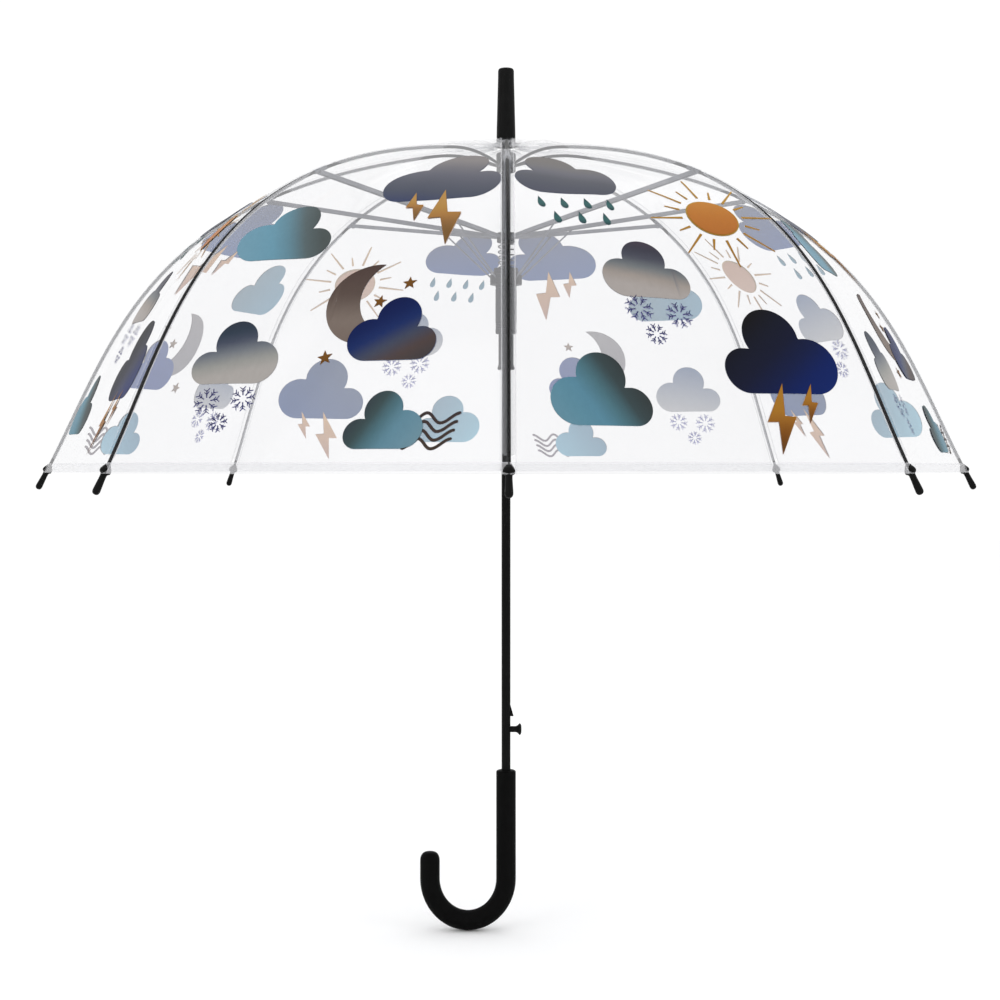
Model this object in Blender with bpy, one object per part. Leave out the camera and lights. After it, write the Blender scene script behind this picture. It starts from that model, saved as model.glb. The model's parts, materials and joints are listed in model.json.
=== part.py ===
"""Clear dome umbrella with eight one-piece ribs, standing open with its shaft along +Z.

The origin is on the shaft's axis, at the middle of the handle's straight grip. Rib 1 points to -Y, and the ribs
follow every 45 degrees. All lengths are in metres; mm() turns the millimetres below into metres.
"""

import math

import bpy
from mathutils import Matrix, Vector

RIB_COUNT = 8
RIB_STEP = math.radians(45.0)
FIRST_RIB = math.radians(-90.0)
HALF_GORE = RIB_STEP / 2

# Canopy film: one cubic curve from the crown to the hem, as radius and height in millimetres
FILM_TOP = (9.6, 648.6)
FILM_SHOULDER = (346.3, 628.0)
FILM_SIDE = (375.2, 468.2)
FILM_HEM = (442.3, 341.0)
FILM_THICK = 0.5
FILM_ROWS = 12
LEAF_GAP = 0.45
CORNER_CUT = 4.4
CORNER_HIGH = 9.0

# Linkage pivots, as radius and height in millimetres, in the plane of each rib
CROWN_PIVOT = (7.7, 631.5)
RIB_JOINT = (227.5, 597.5)
RUNNER_PIVOT = (7.7, 563.5)
STRUT_FOOT = (12.5, 522.5)
STRUT_ALONG = 58.5

# Rods and channels, in millimetres
RIB_RADIUS = 1.5
RIB_DROP = 2.8
RIB_PAST_HEM = 5.9
CHANNEL_WIDTH = 5.6
CHANNEL_WALL = 0.8
CHANNEL_HIGH = 3.8
STRUT_RADIUS = 0.8
EYE_RADIUS = 1.9
EYE_THICK = 1.7
EYE_HOLE = 1.15
RING_WIRE = 0.65

# Shaft, ferrule, washer and notch
SHAFT_RADIUS = 4.32
SHAFT_BORE = 3.5
SHAFT_BOTTOM = 9.5
SHAFT_TOP = 660.0
FERRULE_TOP = 725.0
FERRULE_BOTTOM = 653.9
FERRULE_BASE_RADIUS = 9.1
FERRULE_TOP_RADIUS = 7.6
WASHER_RADIUS = 12.5
NOTCH_RADIUS = 9.3

# Runners and spring
UPPER_RUNNER_TOP = 567.4
UPPER_RUNNER_BOTTOM = 558.0
LOWER_RUNNER_TOP = 533.2
LOWER_RUNNER_BOTTOM = 514.6
LOWER_RUNNER_RADIUS = 15.4
GRIP_TOP = 514.3
GRIP_BOTTOM = 470.4
GRIP_RADIUS = 10.1
TUBE_BOTTOM = 436.0
TUBE_RADIUS = 7.2
SPRING_SEAT = 493.5
SPRING_COILS = 12
SPRING_WIRE = 0.75
SPRING_RADIUS = 7.3

# Catch
TOOTH_TOP = 115.2
TOOTH_BOTTOM = 103.7
BUTTON_HEIGHT = 91.2
BUTTON_NECK = 2.9
BUTTON_HEAD = 5.7
BUTTON_OUT = 14.9

# Handle
HANDLE_RADIUS = 9.6
HANDLE_TOP = 51.8
HOOK_START = -51.8
HOOK_ACROSS = 36.5
HOOK_DOWN = 40.2
HOOK_END = -35.0
HANDLE_SIDES = 16


def mm(value):
    """Metres from millimetres."""
    return value * 0.001


def clear_scene():
    for old in list(bpy.data.objects):
        bpy.data.objects.remove(old, do_unlink=True)


def make_material(name, colour, metallic, roughness, alpha=1.0):
    material = bpy.data.materials.new(name)
    material.use_nodes = True
    shader = material.node_tree.nodes["Principled BSDF"]
    shader.inputs["Base Color"].default_value = (*colour, 1.0)
    shader.inputs["Metallic"].default_value = metallic
    shader.inputs["Roughness"].default_value = roughness
    shader.inputs["Alpha"].default_value = alpha
    return material


def new_mesh(name, points, faces):
    """A mesh from points in millimetres."""
    mesh = bpy.data.meshes.new(name)
    mesh.from_pydata([[mm(c) for c in p] for p in points], [], faces)
    mesh.validate()
    return mesh


def place(name, mesh, material, pivot=(0.0, 0.0), azimuth=0.0):
    """Stand a mesh with its origin at a pivot, given as radius and height, in the plane at an azimuth."""
    obj = bpy.data.objects.new(name, mesh.copy())
    bpy.context.collection.objects.link(obj)
    obj.data.materials.clear()
    obj.data.materials.append(material.copy())
    obj.data.materials[0].name = name + "_finish"
    radius, height = pivot
    obj.location = (mm(radius) * math.cos(azimuth), mm(radius) * math.sin(azimuth), mm(height))
    obj.rotation_euler = (0.0, 0.0, azimuth)
    obj.data.set_sharp_from_angle(angle=math.radians(35.0))
    return obj


def loop_faces(rings, sides, closed):
    """Quads between rings of points, with a cap at each end unless the rings close on themselves."""
    faces = []
    for i in range(rings if closed else rings - 1):
        a = i * sides
        b = ((i + 1) % rings) * sides
        for j in range(sides):
            k = (j + 1) % sides
            faces.append((a + j, a + k, b + k, b + j))
    if not closed:
        faces.append(tuple(reversed(range(sides))))
        faces.append(tuple(range((rings - 1) * sides, rings * sides)))
    return faces


def lathe(name, profile, steps, turn=0.0):
    """Turn a closed outline of (radius, height) about Z. The outline runs up its outer side and back inside.

    An outline whose ends are on the axis gives a solid end there."""
    points = []
    index = []
    for radius, height in profile:
        if radius < 1e-6:
            index.append([len(points)] * steps)
            points.append((0.0, 0.0, height))
            continue
        index.append([len(points) + j for j in range(steps)])
        for j in range(steps):
            angle = turn + 2 * math.pi * j / steps
            points.append((radius * math.cos(angle), radius * math.sin(angle), height))
    faces = []
    for i in range(len(profile)):
        lower = index[i]
        upper = index[(i + 1) % len(profile)]
        if lower[0] == lower[1] and upper[0] == upper[1]:
            continue
        for j in range(steps):
            k = (j + 1) % steps
            corners = [lower[j], lower[k], upper[k], upper[j]]
            faces.append(tuple(dict.fromkeys(corners)))
    return new_mesh(name, points, faces)


def sweep(name, path, section):
    """Carry a section along a path in the XZ plane. Section points are (across, up) pairs, counted so that
    across runs along Y and up is square to the path. section(t) gives them at a share t of the path."""
    points = []
    count = len(path)
    sides = len(section(0.0))
    for i in range(count):
        before = path[max(i - 1, 0)]
        after = path[min(i + 1, count - 1)]
        along = Vector((after[0] - before[0], after[1] - before[1])).normalized()
        up = Vector((-along.y, along.x))
        for across, rise in section(i / (count - 1)):
            points.append((path[i][0] + up.x * rise, across, path[i][1] + up.y * rise))
    return new_mesh(name, points, loop_faces(count, sides, False))


def round_section(radius, sides):
    ring = []
    for j in range(sides):
        angle = 2 * math.pi * (j + 0.5) / sides
        ring.append((radius * math.cos(angle), radius * math.sin(angle)))
    return ring


def disc(name, radius, thick, sides=12, centre=(0.0, 0.0)):
    """A flat round plate on edge, with its axis along Y, at a centre given as (x, z)."""
    points = []
    for side in (-1, 1):
        for j in range(sides):
            angle = 2 * math.pi * j / sides
            x = centre[0] + radius * math.cos(angle)
            z = centre[1] + radius * math.sin(angle)
            points.append((x, side * thick / 2, z))
    return new_mesh(name, points, loop_faces(2, sides, False))


def block(name, low, high):
    """A box between two corners."""
    points = []
    for x in (low[0], high[0]):
        for y, z in ((low[1], low[2]), (high[1], low[2]), (high[1], high[2]), (low[1], high[2])):
            points.append((x, y, z))
    return new_mesh(name, points, loop_faces(2, 4, False))


def outward(mesh):
    """Turn a closed mesh's faces to the outside."""
    volume = 0.0
    mesh.calc_loop_triangles()
    for tri in mesh.loop_triangles:
        a, b, c = (mesh.vertices[i].co for i in tri.vertices)
        volume += a.dot(b.cross(c))
    if volume < 0:
        mesh.flip_normals()
    return mesh


def combine(name, base, joined=(), cut=()):
    """The base mesh with others joined to it and others cut away, as one mesh."""
    body = bpy.data.objects.new(name, outward(base))
    bpy.context.collection.objects.link(body)
    tools = []
    for meshes, operation in ((joined, "UNION"), (cut, "DIFFERENCE")):
        for mesh in meshes:
            tool = bpy.data.objects.new(name + "_tool", outward(mesh))
            bpy.context.collection.objects.link(tool)
            tool.hide_render = True
            tool.display_type = "WIRE"
            tools.append(tool)
            step = body.modifiers.new(operation, "BOOLEAN")
            step.operation = operation
            step.solver = "EXACT"
            step.object = tool
    bpy.context.view_layer.update()
    graph = bpy.context.evaluated_depsgraph_get()
    result = bpy.data.meshes.new_from_object(body.evaluated_get(graph))
    for old in [body, *tools]:
        bpy.data.objects.remove(old, do_unlink=True)
    return result


def moved(mesh, matrix):
    copy = mesh.copy()
    copy.transform(matrix)
    return copy


def around(mesh, count, start=0.0):
    """Copies of a mesh turned about Z at even steps."""
    return [moved(mesh, Matrix.Rotation(start + 2 * math.pi * k / count, 4, "Z")) for k in range(count)]


def bezier(points, t):
    """A point on a cubic curve."""
    weights = ((1 - t) ** 3, 3 * (1 - t) ** 2 * t, 3 * (1 - t) * t * t, t**3)
    return tuple(sum(w * p[k] for w, p in zip(weights, points)) for k in (0, 1))


def film_point(t):
    return bezier((FILM_TOP, FILM_SHOULDER, FILM_SIDE, FILM_HEM), t)


def film_normal(t):
    """The way out from the film at a share t of its curve, as (radius, height)."""
    a = film_point(max(t - 0.001, 0.0))
    b = film_point(min(t + 0.001, 1.0))
    along = Vector((b[0] - a[0], b[1] - a[1])).normalized()
    return Vector((-along.y, along.x))


def film_shares(rows):
    """Shares of the film's curve at even steps of its length, and one more where the hem's corners start."""
    fine = [film_point(i / 400) for i in range(401)]
    run = [0.0]
    for a, b in zip(fine, fine[1:]):
        run.append(run[-1] + math.dist(a, b))
    stops = [run[-1] * k / rows for k in range(rows)]
    stops += [run[-1] - CORNER_HIGH, run[-1]]
    shares = []
    i = 0
    for stop in stops:
        while i < 399 and run[i + 1] < stop:
            i += 1
        shares.append((i + (stop - run[i]) / (run[i + 1] - run[i])) / 400)
    return shares


def rib_path():
    """The rib's centre line: up from the crown pivot, then along under the film to just past the hem."""
    path = [CROWN_PIVOT]
    for t in film_shares(FILM_ROWS):
        point = film_point(t)
        if point[0] < 40.0:
            continue
        out = film_normal(t)
        path.append((point[0] - out.x * RIB_DROP, point[1] - out.y * RIB_DROP))
    last = Vector(path[-1])
    along = (last - Vector(path[-2])).normalized()
    end = last + along * RIB_PAST_HEM
    path.append((end.x, end.y))
    return path


def rib_mesh():
    """One rib, with an eye for the crown's wire ring and a drilled boss at the stretcher joint."""
    path = [(x - CROWN_PIVOT[0], z - CROWN_PIVOT[1]) for x, z in rib_path()]
    full = round_section(RIB_RADIUS, 6)

    def section(t):
        narrow = 0.62 if t < 0.01 else 1.0
        return [(a * narrow, r) for a, r in full]

    rod = sweep("rib_rod", path, section)
    joint = (RIB_JOINT[0] - CROWN_PIVOT[0], RIB_JOINT[1] - CROWN_PIVOT[1])
    eye = disc("rib_eye", EYE_RADIUS, EYE_THICK, 8)
    boss = disc("rib_boss", 3.0, 2.8, 10, joint)
    eye_hole = disc("rib_eye_hole", EYE_HOLE, 9.0, 6)
    boss_hole = disc("rib_boss_hole", 1.35, 9.0, 6, joint)
    return combine("rib", rod, (eye, boss), (eye_hole, boss_hole))


def tip_mesh():
    """One rib tip: a cap with a bore for the rib's end, a flared collar that holds the hem's corner and a long
    rounded end."""
    profile = (
        (0.0, 0.6), (1.9, 0.6), (1.9, -11.0), (2.3, -11.0), (4.4, -6.6), (4.6, -5.4), (4.3, -3.9),
        (2.6, -2.9), (2.55, 0.5), (3.0, 9.0), (3.1, 11.8), (2.6, 13.8), (1.4, 14.8), (0.0, 15.0),
    )
    return outward(lathe("tip", profile, 8))


def stretcher_mesh():
    """One stretcher: a U-channel open below, a tongue with an eye at the runner, a rivet through the rib's boss
    and a pin for the strut. Its origin is at the rib joint, and it lies along -X before it is tilted."""
    length = math.dist(RIB_JOINT, RUNNER_PIVOT)
    half = CHANNEL_WIDTH / 2
    inner = half - CHANNEL_WALL
    shell = block("channel", (-length + 15.0, -half, -2.2), (2.4, half, CHANNEL_HIGH - 2.2))
    hollow = block("channel_hollow", (-length + 22.0, -inner, -3.0), (5.0, inner, CHANNEL_HIGH - 3.1))
    slot = block("rib_slot", (-14.0, -inner, -3.0), (5.0, inner, CHANNEL_HIGH))
    pin_at = -length + STRUT_ALONG
    window = block("strut_window", (pin_at - 2.8, -1.1, -3.0), (pin_at + 2.8, 1.1, CHANNEL_HIGH))
    tongue = block("tongue", (-length, -EYE_THICK / 2, -1.6), (-length + 18.0, EYE_THICK / 2, 1.6))
    eye = disc("stretcher_eye", EYE_RADIUS, EYE_THICK, 8, (-length, 0.0))
    eye_hole = disc("stretcher_eye_hole", EYE_HOLE, 9.0, 6, (-length, 0.0))
    rivet = disc("rivet", 0.9, CHANNEL_WIDTH + 1.0, 6)
    pin = disc("strut_pin", 0.7, CHANNEL_WIDTH + 0.6, 6, (pin_at, 0.0))
    body = combine("channel_body", shell, (tongue, eye), (hollow, slot, window, eye_hole))
    body = combine("stretcher", body, (rivet, pin))
    tilt = math.atan2(RIB_JOINT[1] - RUNNER_PIVOT[1], RIB_JOINT[0] - RUNNER_PIVOT[0])
    body.transform(Matrix.Rotation(-tilt, 4, "Y"))
    return body


def strut_head():
    """Where the strut's pin is, as radius and height."""
    reach = math.dist(RIB_JOINT, RUNNER_PIVOT)
    share = STRUT_ALONG / reach
    x = RUNNER_PIVOT[0] + share * (RIB_JOINT[0] - RUNNER_PIVOT[0])
    z = RUNNER_PIVOT[1] + share * (RIB_JOINT[1] - RUNNER_PIVOT[1])
    return x, z


def strut_mesh():
    """One strut: a wire from its eye in the stretcher down to a rounded foot in the lower runner's slot."""
    head = strut_head()
    foot = (STRUT_FOOT[0] - head[0], STRUT_FOOT[1] - head[1])
    wire = round_section(STRUT_RADIUS, 5)
    start = (foot[0] * 0.015, foot[1] * 0.015)
    rod = sweep("strut_rod", [start, foot], lambda t: wire)
    eye = disc("strut_eye", 1.8, 1.5, 8)
    ball = disc("strut_foot", 1.15, 1.7, 8, foot)
    hole = disc("strut_hole", 1.1, 9.0, 6)
    return combine("strut", rod, (eye, ball), (hole,))


def leaf_mesh(side):
    """Half a gore, flat from its rib to the gore's centre line, with its corner at the hem cut off where the
    tip's collar is. Side is 1 to the left of the rib, seen from above with the rib pointing away, and -1 to the
    right. Its origin is at the crown pivot."""
    turn = side * HALF_GORE
    across = Vector((-math.sin(turn), math.cos(turn))) * side
    centre = Vector((math.cos(turn), math.sin(turn)))
    points = []
    shares = film_shares(FILM_ROWS)
    for t in shares:
        radius, height = film_point(t)
        out = film_normal(t)
        middle = centre * (radius * math.cos(HALF_GORE))
        gap = CORNER_CUT if t == shares[-1] else LEAF_GAP
        rib_edge = Vector((radius, 0.0)) + across * gap * 1.1
        mid_edge = middle - across * LEAF_GAP
        for level, edge in ((-1, rib_edge), (-1, mid_edge), (1, mid_edge), (1, rib_edge)):
            shift = level * FILM_THICK / 2
            flat = edge + centre * out.x * shift
            points.append((flat.x - CROWN_PIVOT[0], flat.y, height + out.y * shift - CROWN_PIVOT[1]))
    return outward(new_mesh("leaf", points, loop_faces(len(shares), 4, False)))


def ring_mesh(name, radius, height, wire, steps):
    """A wire ring about Z."""
    points = []
    for i in range(steps):
        angle = 2 * math.pi * (i + 0.5) / steps
        for across, rise in round_section(wire, 6):
            reach = radius + across
            points.append((reach * math.cos(angle), reach * math.sin(angle), height + rise))
    return new_mesh(name, points, loop_faces(steps, 6, True))


def slots(name, inner, outer, low, high, wide):
    """Eight upright slots, one in line with each rib."""
    cutter = block(name, (inner, -wide / 2, low), (outer, wide / 2, high))
    return around(cutter, RIB_COUNT, FIRST_RIB)


def notch_mesh():
    """The crown notch: a slotted collar with a wire ring through its slots."""
    profile = (
        (4.6, 625.6), (8.9, 625.6), (NOTCH_RADIUS, 626.2), (NOTCH_RADIUS, 642.6), (8.6, 643.6), (4.6, 643.6),
    )
    collar = lathe("notch", profile, 24)
    cut = combine("notch_cut", collar, (), slots("notch_slot", 5.6, 12.0, 624.0, 637.5, 2.5))
    ring = ring_mesh("notch_ring", CROWN_PIVOT[0], CROWN_PIVOT[1], RING_WIRE, 16)
    return combine("crown_notch", cut, (ring,))


def upper_runner_mesh():
    """The upper runner: a slotted collar with a wire ring, flat below for the spring."""
    profile = (
        (4.7, UPPER_RUNNER_BOTTOM), (8.3, UPPER_RUNNER_BOTTOM), (8.8, UPPER_RUNNER_BOTTOM + 0.5),
        (8.8, UPPER_RUNNER_TOP - 0.6), (8.2, UPPER_RUNNER_TOP), (4.7, UPPER_RUNNER_TOP),
    )
    collar = lathe("upper", profile, 24)
    cutters = slots("upper_slot", 5.6, 12.0, RUNNER_PIVOT[1] - 3.2, UPPER_RUNNER_TOP + 1.0, 2.5)
    cut = combine("upper_cut", collar, (), cutters)
    ring = ring_mesh("upper_ring", RUNNER_PIVOT[0], RUNNER_PIVOT[1], RING_WIRE, 16)
    return combine("upper_runner", cut, (ring,))


def lower_runner_mesh():
    """The lower runner: a flanged hub with a slot for each strut's foot, bored wide for the spring."""
    profile = (
        (8.6, LOWER_RUNNER_BOTTOM), (10.1, LOWER_RUNNER_BOTTOM), (10.4, 517.0),
        (LOWER_RUNNER_RADIUS, 517.6), (LOWER_RUNNER_RADIUS, 526.4), (12.6, 527.4),
        (11.6, LOWER_RUNNER_TOP), (8.6, LOWER_RUNNER_TOP),
    )
    collar = lathe("lower", profile, 24)
    cutters = slots("lower_slot", 10.0, 20.0, LOWER_RUNNER_BOTTOM - 1.0, LOWER_RUNNER_TOP + 1.0, 2.5)
    return combine("lower_runner", collar, (), cutters)


def spring_mesh():
    """The opening spring: an open coil from its seat in the grip to the upper runner."""
    low = SPRING_SEAT + 0.4 + SPRING_WIRE
    high = UPPER_RUNNER_BOTTOM - 0.4 - SPRING_WIRE
    per_turn = 10
    count = SPRING_COILS * per_turn
    points = []
    for i in range(count + 1):
        angle = 2 * math.pi * i / per_turn
        height = low + (high - low) * i / count
        for across, rise in round_section(SPRING_WIRE, 4):
            reach = SPRING_RADIUS + across
            points.append((reach * math.cos(angle), reach * math.sin(angle), height + rise))
    return outward(new_mesh("spring", points, loop_faces(count + 1, 4, False)))


def grip_mesh():
    """The wide sleeve: bored for the spring down to its seat and for the shaft below it."""
    profile = (
        (4.8, GRIP_BOTTOM), (9.4, GRIP_BOTTOM), (GRIP_RADIUS, GRIP_BOTTOM + 0.8),
        (GRIP_RADIUS, GRIP_TOP - 0.6), (9.7, GRIP_TOP), (8.6, GRIP_TOP), (8.6, SPRING_SEAT), (4.8, SPRING_SEAT),
    )
    return outward(lathe("grip", profile, 24))


def tube_mesh():
    """The narrow tube under the grip, with a flared rim."""
    profile = (
        (4.8, TUBE_BOTTOM), (8.0, TUBE_BOTTOM), (8.2, TUBE_BOTTOM + 0.8), (8.2, TUBE_BOTTOM + 2.4),
        (TUBE_RADIUS, TUBE_BOTTOM + 4.4), (TUBE_RADIUS, GRIP_BOTTOM - 0.3), (4.8, GRIP_BOTTOM - 0.3),
    )
    return outward(lathe("tube", profile, 20))


def shaft_mesh():
    """The steel tube, with windows on +X for the catch's tooth and button."""
    profile = (
        (SHAFT_BORE, SHAFT_BOTTOM), (SHAFT_RADIUS, SHAFT_BOTTOM), (SHAFT_RADIUS, SHAFT_TOP), (SHAFT_BORE, SHAFT_TOP),
    )
    tube = lathe("shaft", profile, 20)
    tooth_window = block("tooth_window", (1.0, -1.4, TOOTH_BOTTOM - 0.5), (9.0, 1.4, TOOTH_TOP + 0.5))
    quarter = Matrix.Rotation(math.radians(90.0), 4, "Z")
    button_window = disc("button_window", BUTTON_NECK + 0.35, 8.0, 12)
    button_window.transform(Matrix.Translation((mm(5.0), 0.0, mm(BUTTON_HEIGHT))) @ quarter)
    return combine("shaft", tube, (), (tooth_window, button_window))


def catch_mesh():
    """The catch: a flat slide inside the shaft, with a sloped tooth above and a mushroom button below."""
    slide = block("catch_slide", (0.3, -1.5, 80.0), (1.9, 1.5, 124.0))
    tooth_points = [
        (x, y, z)
        for y in (-1.0, 1.0)
        for x, z in ((1.5, TOOTH_BOTTOM), (7.2, TOOTH_BOTTOM), (6.9, TOOTH_BOTTOM + 1.4), (4.0, TOOTH_TOP), (1.5, TOOTH_TOP))
    ]
    tooth = new_mesh("tooth", tooth_points, loop_faces(2, 5, False))
    neck = [(0.0, 1.6), (BUTTON_NECK, 1.6), (BUTTON_NECK, 10.6), (BUTTON_HEAD, 12.6)]
    dome = [(BUTTON_HEAD, 13.6), (BUTTON_HEAD * 0.8, 14.5), (0.0, BUTTON_OUT)]
    button = lathe("button", neck + dome, 12)
    lay = Matrix.Rotation(math.radians(90.0), 4, "Y")
    button.transform(Matrix.Translation((0.0, 0.0, mm(BUTTON_HEIGHT))) @ lay)
    return combine("catch", slide, (tooth, button))


def ferrule_mesh():
    """The top cap: a long taper with a rounded top, bored below for the shaft."""
    profile = (
        (4.7, FERRULE_BOTTOM), (FERRULE_BASE_RADIUS - 0.4, FERRULE_BOTTOM), (FERRULE_BASE_RADIUS, FERRULE_BOTTOM + 0.6),
        (FERRULE_TOP_RADIUS, FERRULE_TOP - 2.4), (FERRULE_TOP_RADIUS - 0.7, FERRULE_TOP - 0.7),
        (FERRULE_TOP_RADIUS - 2.2, FERRULE_TOP), (0.0, FERRULE_TOP), (0.0, SHAFT_TOP + 6.0), (4.7, SHAFT_TOP + 6.0),
    )
    return outward(lathe("ferrule", profile, 20))


def washer_mesh():
    """The disc that clamps the film's middle under the ferrule."""
    profile = (
        (4.7, 650.1), (WASHER_RADIUS - 0.6, 650.1), (WASHER_RADIUS, 650.7), (WASHER_RADIUS, 652.4),
        (WASHER_RADIUS - 1.0, 653.5), (4.7, 653.5),
    )
    return outward(lathe("washer", profile, 20))


def handle_mesh():
    """The J-hook handle: a straight grip with a small top chamfer, half an ellipse and a rounded end."""
    path = [(0.0, HANDLE_TOP), (0.0, HANDLE_TOP - 1.4), (0.0, 0.0), (0.0, HOOK_START)]
    for i in range(1, 15):
        angle = math.pi * i / 14
        x = -HOOK_ACROSS * (1 - math.cos(angle))
        path.append((x, HOOK_START - HOOK_DOWN * math.sin(angle)))
    path.append((-2 * HOOK_ACROSS, HOOK_END))
    shares = ((4.0, 0.92), (7.2, 0.72), (8.7, 0.45))
    for rise, share in shares:
        path.append((-2 * HOOK_ACROSS, HOOK_END + rise))
    last = len(path) - 1

    def section(t):
        i = round(t * last)
        radius = HANDLE_RADIUS
        if i == 0:
            radius = HANDLE_RADIUS - 1.2
        if i > last - 3:
            radius = HANDLE_RADIUS * shares[i - last + 2][1]
        return round_section(radius, HANDLE_SIDES)

    body = sweep("handle_body", path, section)
    bore = lathe("handle_bore", ((0.0, 9.0), (4.7, 9.0), (4.7, HANDLE_TOP + 5.0), (0.0, HANDLE_TOP + 5.0)), 16)
    return combine("handle", body, (), (bore,))


def build():
    clear_scene()
    black = make_material("black_paint", (0.012, 0.012, 0.013), 0.0, 0.35)
    rubber = make_material("soft_black", (0.015, 0.015, 0.016), 0.0, 0.6)
    steel = make_material("steel", (0.34, 0.34, 0.36), 1.0, 0.4)
    glass_fibre = make_material("glass_fibre", (0.02, 0.02, 0.022), 0.0, 0.35)
    film = make_material("clear_film", (0.94, 0.95, 0.96), 0.0, 0.1, 0.25)

    place("shaft", shaft_mesh(), black)
    place("ferrule", ferrule_mesh(), black)
    place("canopy_washer", washer_mesh(), black)
    place("crown_notch", notch_mesh(), black)
    place("upper_runner", upper_runner_mesh(), black)
    place("opening_spring", spring_mesh(), steel)
    place("lower_runner", lower_runner_mesh(), black)
    place("runner_grip", grip_mesh(), black)
    place("runner_tube", tube_mesh(), black)
    place("catch", catch_mesh(), black)
    place("handle", handle_mesh(), rubber)

    rib = rib_mesh()
    tip = tip_mesh()
    stretcher = stretcher_mesh()
    strut = strut_mesh()
    left = leaf_mesh(1)
    right = leaf_mesh(-1)
    path = rib_path()
    end = Vector(path[-1])
    along = (end - Vector(path[-2])).normalized()
    # The tip's axis follows the rib's end, and its bore starts where the rib stops.
    lean = math.atan2(along.x, along.y)
    tip.transform(Matrix.Rotation(lean, 4, "Y"))
    tip_at = (end.x, end.y)
    for k in range(RIB_COUNT):
        azimuth = FIRST_RIB + RIB_STEP * k
        label = str(k + 1)
        place("rib_" + label, rib, glass_fibre, CROWN_PIVOT, azimuth)
        place("tip_" + label, tip, black, tip_at, azimuth)
        place("stretcher_" + label, stretcher, steel, RIB_JOINT, azimuth)
        place("strut_" + label, strut, steel, strut_head(), azimuth)
        place("leaf_" + label + "_left", left, film, CROWN_PIVOT, azimuth)
        place("leaf_" + label + "_right", right, film, CROWN_PIVOT, azimuth)


build()
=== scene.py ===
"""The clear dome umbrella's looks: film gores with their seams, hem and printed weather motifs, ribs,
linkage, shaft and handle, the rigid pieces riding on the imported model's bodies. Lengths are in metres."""

import json
import math

import bmesh
import bpy
import numpy as np
from mathutils import Matrix, Vector, geometry


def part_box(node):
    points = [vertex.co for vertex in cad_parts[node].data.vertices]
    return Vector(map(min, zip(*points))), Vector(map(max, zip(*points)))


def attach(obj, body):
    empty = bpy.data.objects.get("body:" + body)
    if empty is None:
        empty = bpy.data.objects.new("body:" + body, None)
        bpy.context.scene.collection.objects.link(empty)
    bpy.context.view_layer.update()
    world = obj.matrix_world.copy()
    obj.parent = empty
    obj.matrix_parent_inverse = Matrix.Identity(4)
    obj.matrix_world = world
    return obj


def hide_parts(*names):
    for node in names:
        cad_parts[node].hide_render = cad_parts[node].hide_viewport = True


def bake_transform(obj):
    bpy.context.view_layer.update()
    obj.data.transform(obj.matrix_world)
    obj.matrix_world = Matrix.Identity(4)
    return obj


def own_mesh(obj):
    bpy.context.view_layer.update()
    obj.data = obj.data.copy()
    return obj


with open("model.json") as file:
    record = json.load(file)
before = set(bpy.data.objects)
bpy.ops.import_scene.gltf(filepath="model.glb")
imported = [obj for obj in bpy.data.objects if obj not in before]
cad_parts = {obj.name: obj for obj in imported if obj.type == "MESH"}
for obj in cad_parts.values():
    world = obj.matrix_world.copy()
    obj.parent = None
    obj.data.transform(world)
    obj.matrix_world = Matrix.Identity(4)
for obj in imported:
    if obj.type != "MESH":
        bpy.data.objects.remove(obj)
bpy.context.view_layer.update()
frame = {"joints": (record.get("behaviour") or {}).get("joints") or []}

# ------------ driving dimensions
RIBS = 8
STEP = math.radians(45.0)
HALF = STEP / 2
FIRST = math.radians(-90.0)

# The film's curve from crown to hem, as radius and height
FILM = ((0.0096, 0.6486), (0.3463, 0.6280), (0.3752, 0.4682), (0.4423, 0.3410))
RIB_DROP = 0.0026  # from the film down to a rib's centre line
RIB_FREE_TO = 0.070  # radius where a rib, rising from the crown, comes up under the film
RIB_PAST_CURVE = 0.0057
HEM_PAST_RIB = 0.0040
HEM_BAND = 0.0095
SEAM_HALF = 0.0058  # half the width of a rib's welded pocket
FILM_FROM_RIB = 0.0048  # the single film stops this far from a rib's line
POCKET_DEPTH = 0.0047
INK_LIFT = 0.0003
STRUT_FOOT_RADIUS = 0.0125
TUBE_BORE = 0.0048  # inner radius of what slides on the shaft
BUTTON_HEIGHT = 0.0912

shaft_low, shaft_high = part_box("shaft")
ferrule_low, ferrule_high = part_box("ferrule")
grip_low, grip_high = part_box("runner_grip")
tube_low, tube_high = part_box("runner_tube")
spring_low, spring_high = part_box("opening_spring")
handle_low, handle_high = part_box("handle")
catch_low, catch_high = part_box("catch")
washer_low, washer_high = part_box("canopy_washer")
pivots = {j["name"]: Vector(j["pos_m"]) for j in frame["joints"] if j["type"] == "hinge"}


def turned(azimuth):
    return Matrix.Rotation(azimuth, 4, "Z")


def rib_azimuth(k):
    """Azimuth of rib k, counted from 1."""
    return FIRST + STEP * (k - 1)


# ------------ materials
def linear(*rgb):
    """Linear colour from 0-255 display values."""
    out = []
    for c in rgb:
        c /= 255.0
        out.append(c / 12.92 if c <= 0.04045 else ((c + 0.055) / 1.055) ** 2.4)
    return (*out, 1.0)


def new_material(name):
    material = bpy.data.materials.new(name)
    material.use_nodes = True
    return material, material.node_tree, material.node_tree.nodes["Principled BSDF"]


def add_node(tree, kind, **values):
    node = tree.nodes.new(kind)
    for key, value in values.items():
        if key in node.inputs:
            node.inputs[key].default_value = value
        else:
            setattr(node, key, value)
    return node


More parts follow.
